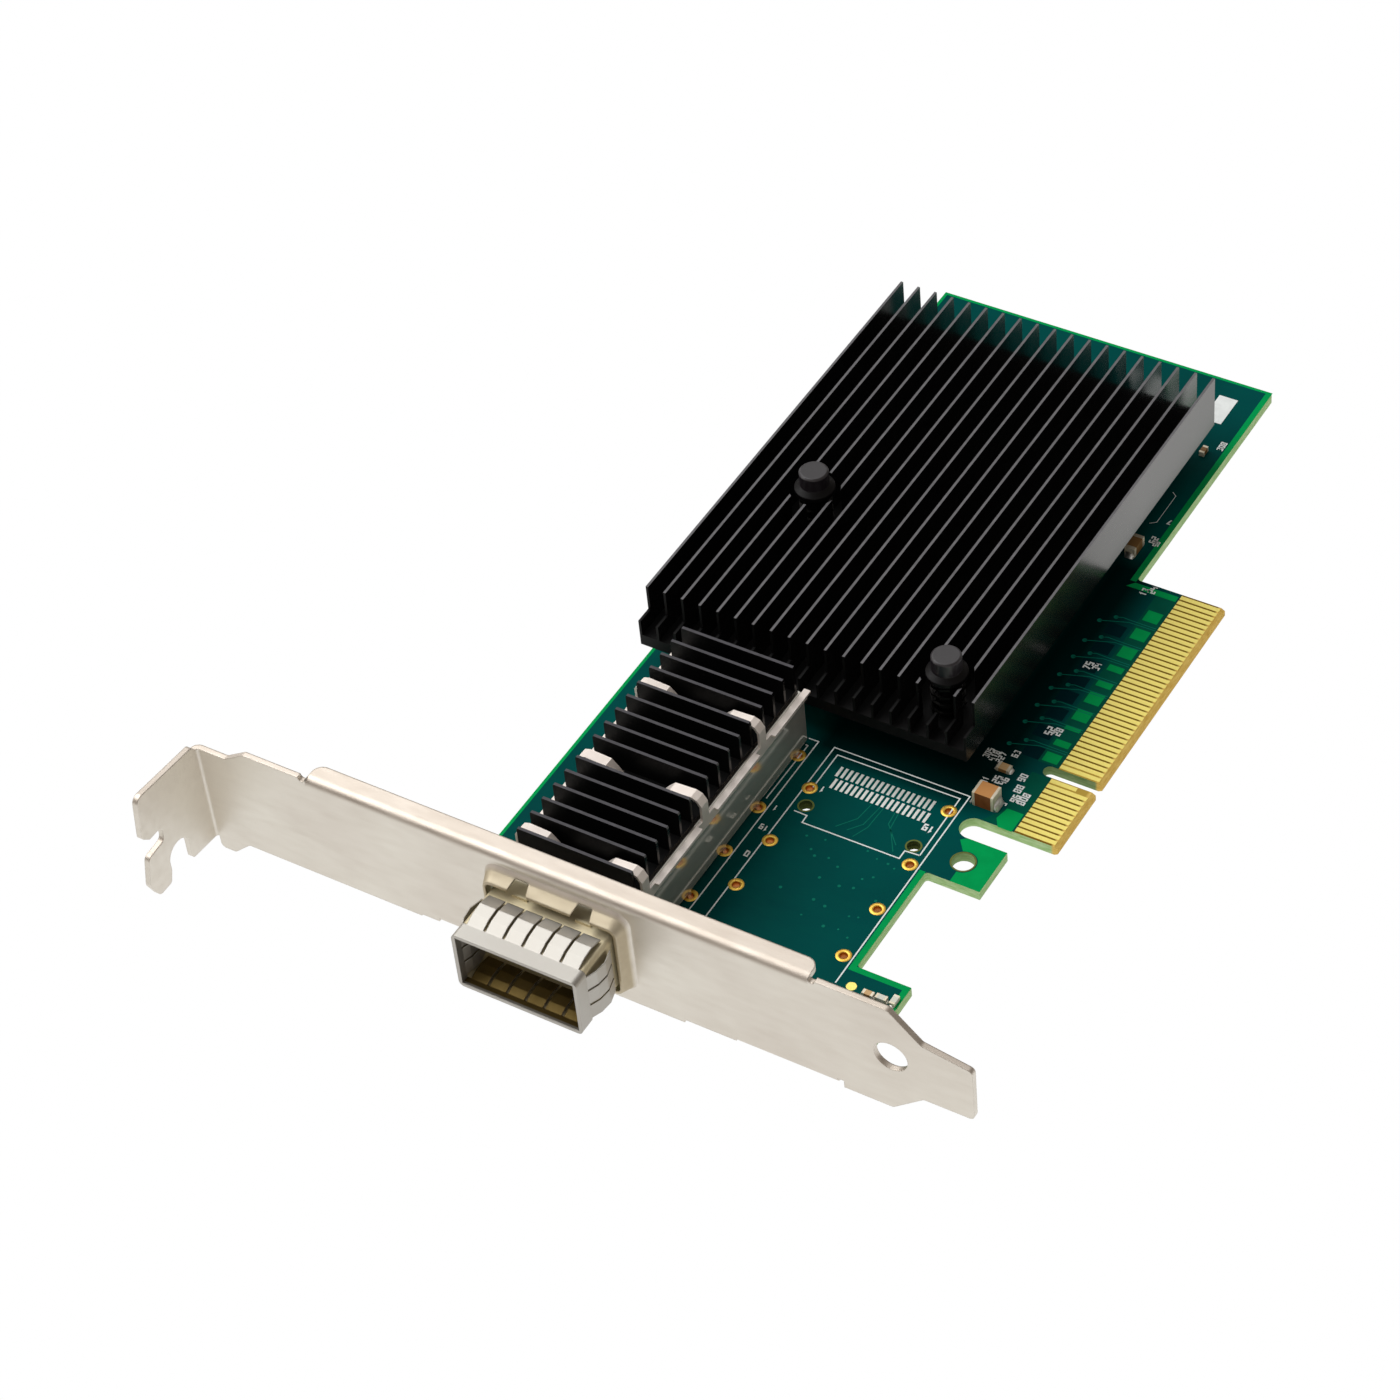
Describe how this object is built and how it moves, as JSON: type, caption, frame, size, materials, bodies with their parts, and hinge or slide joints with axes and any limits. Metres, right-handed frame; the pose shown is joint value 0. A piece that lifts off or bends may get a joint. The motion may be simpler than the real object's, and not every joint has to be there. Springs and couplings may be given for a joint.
{
  "type": "network interface card",
  "caption": "Low-profile plug-in network card on a full-height slot bracket, with a caged module port, black finned heatsinks and a gold edge connector.",
  "frame": {"origin": "on the board's component face, at the edge connector's lower edge, in the middle of the key notch", "axes": "+X along the card away from the bracket, +Y from the edge connector towards the bracket's screw tab, +Z out of the component face"},
  "size_m": [0.1565, 0.12, 0.0244],
  "materials": {
    "board_green": "dark green solder mask on a glass-fibre board",
    "gold": "gold-plated copper contacts",
    "tinned_pad": "tinned solder lands",
    "bracket_steel": "satin plated sheet steel",
    "screw_steel": "zinc-plated screws",
    "cage_metal": "bright nickel-plated folded sheet",
    "gasket_metal": "bright tinned spring strip",
    "cage_sink_metal": "black anodised aluminium",
    "clip_metal": "bright spring steel strip",
    "connector_plastic": "black moulded liquid-crystal polymer",
    "sink_metal": "black anodised aluminium with worn fin edges",
    "pin_nylon": "black moulded nylon",
    "spring_steel": "plated spring steel",
    "chip_package": "black moulded chip package",
    "pad_rubber": "soft grey thermal pad",
    "capacitor_tan": "tan ceramic",
    "resistor_pale": "pale ceramic chip",
    "led_pale": "pale clear resin",
    "crystal_can": "plated lid",
    "inductor_grey": "pressed metal powder"
  },
  "bodies": {
    "root": {"board": "board_green", "edge_contacts_component_side": "gold", "edge_contacts_solder_side": "gold", "spare_port_pads": "tinned_pad", "bracket": "bracket_steel", "bracket_screws": "screw_steel", "module_cage": "cage_metal", "spring_gasket": "gasket_metal", "cage_heatsink": "cage_sink_metal", "heatsink_clip": "clip_metal", "module_connector": "connector_plastic", "module_contacts": "gold", "main_heatsink": "sink_metal", "front_push_pin": "pin_nylon", "rear_push_pin": "pin_nylon", "front_pin_spring": "spring_steel", "rear_pin_spring": "spring_steel", "controller": "chip_package", "thermal_pad": "pad_rubber", "bulk_capacitor": "capacitor_tan", "edge_capacitors": "capacitor_tan", "chip_resistors": "resistor_pale", "status_leds": "led_pale", "flash_memory": "chip_package", "crystal": "crystal_can", "power_inductors": "inductor_grey", "voltage_regulators": "chip_package", "solder_side_capacitors": "capacitor_tan"}
  },
  "joints": []
}
